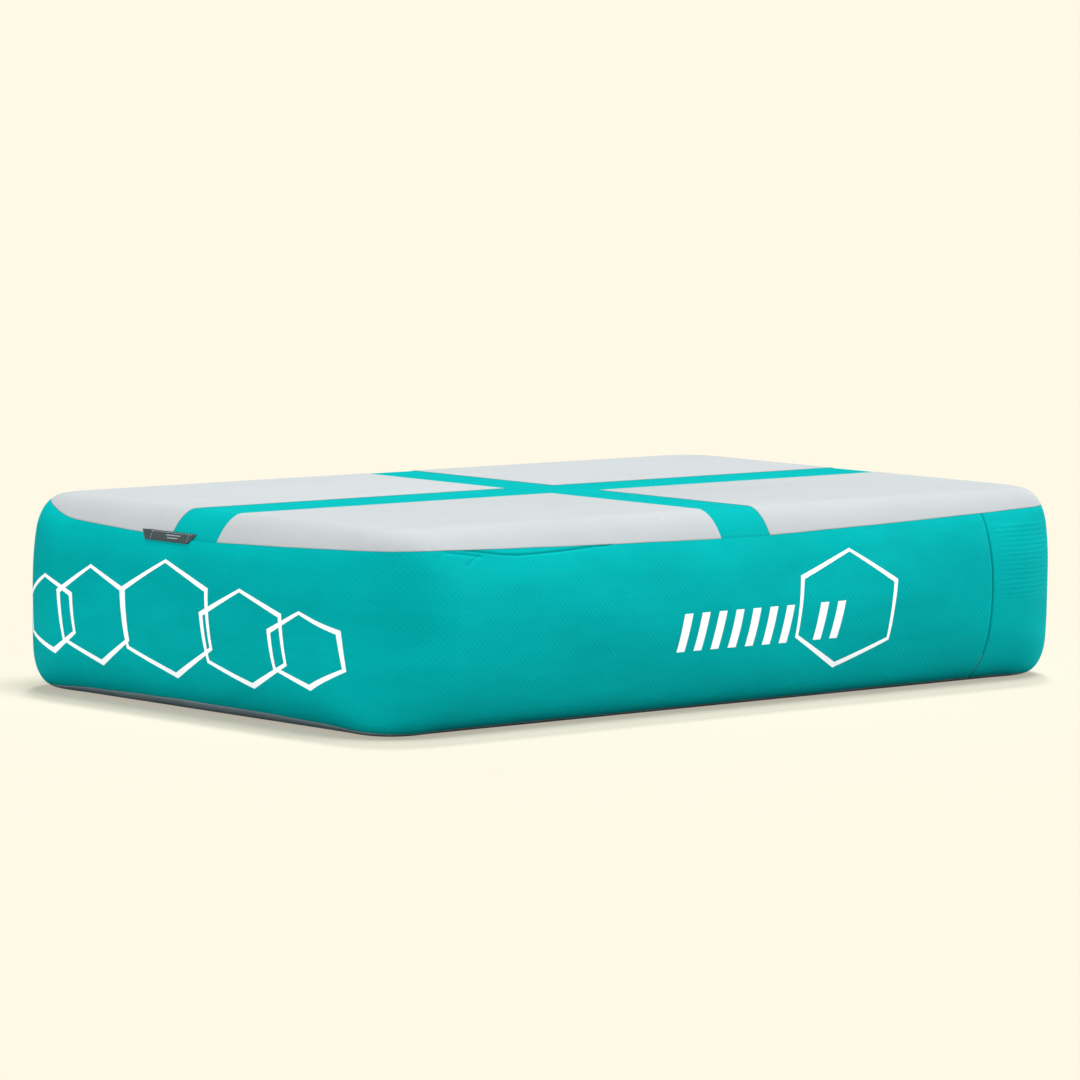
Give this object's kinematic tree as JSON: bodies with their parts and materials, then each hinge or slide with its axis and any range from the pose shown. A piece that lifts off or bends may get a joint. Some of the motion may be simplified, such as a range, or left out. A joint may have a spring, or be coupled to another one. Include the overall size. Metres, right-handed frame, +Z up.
{
  "type": "inflatable air track mat",
  "caption": "Low rectangular air block for gymnastics practice: drop-stitch body with rounded walls, four field pads with a cross between them, and a spring valve in one end.",
  "frame": {"origin": "centre of the flat underside, on the floor", "axes": "+X along the length, towards the valve; +Y across the width, towards the back; +Z up"},
  "size_m": [1.0092, 0.6, 0.2],
  "materials": {
    "teal_pvc": "PVC-coated fabric, faint diagonal weave, satin",
    "teal_pvc_top": "PVC-coated fabric, satin",
    "grey_pvc": "soft grained PVC, matt",
    "dark_pvc": "PVC-coated fabric, matt",
    "core_yarn": "woven polyester cloths and threads",
    "tag_webbing": "woven label tape",
    "valve_plastic": "moulded nylon",
    "button_plastic": "moulded nylon",
    "seal_rubber": "soft rubber",
    "spring_steel": "drawn wire"
  },
  "bodies": {
    "mat": {"drop_stitch_core": "core_yarn", "top_sheet": "teal_pvc_top", "bottom_sheet": "dark_pvc", "field_pad_front_left": "grey_pvc", "field_pad_front_right": "grey_pvc", "field_pad_back_left": "grey_pvc", "field_pad_back_right": "grey_pvc", "side_band_left": "teal_pvc", "side_band_right": "teal_pvc", "edge_tag": "tag_webbing", "valve_patch": "teal_pvc", "valve_gasket": "seal_rubber", "valve_housing": "valve_plastic", "valve_collar": "valve_plastic", "valve_spring": "spring_steel"},
    "poppet": {"poppet_stem": "valve_plastic", "valve_poppet": "valve_plastic", "poppet_seal": "seal_rubber"},
    "button": {"push_button": "button_plastic"},
    "cap_ring": {"cap_seal": "seal_rubber"},
    "cap": {"valve_cap": "valve_plastic"}
  },
  "joints": [
    {"name": "poppet_slide", "type": "slide", "parent": "mat", "child": "poppet", "axis": [-1, 0, 0], "range_m": [0, 0.007], "stiffness_N_per_m": 400, "springref_m": -0.008, "deforming": ["valve_spring"]},
    {"name": "button_turn", "type": "hinge", "parent": "poppet", "child": "button", "pos_m": [0.48638, 0, 0.1], "axis": [1, 0, 0], "range_deg": [0, 90]},
    {"name": "cap_lift", "type": "slide", "parent": "mat", "child": "cap_ring", "axis": [1, 0, 0], "range_m": [0, 0.03]},
    {"name": "cap_turn", "type": "hinge", "parent": "cap_ring", "child": "cap", "pos_m": [0.49538, 0, 0.1], "axis": [1, 0, 0], "range_deg": [0, 90]}
  ]
}
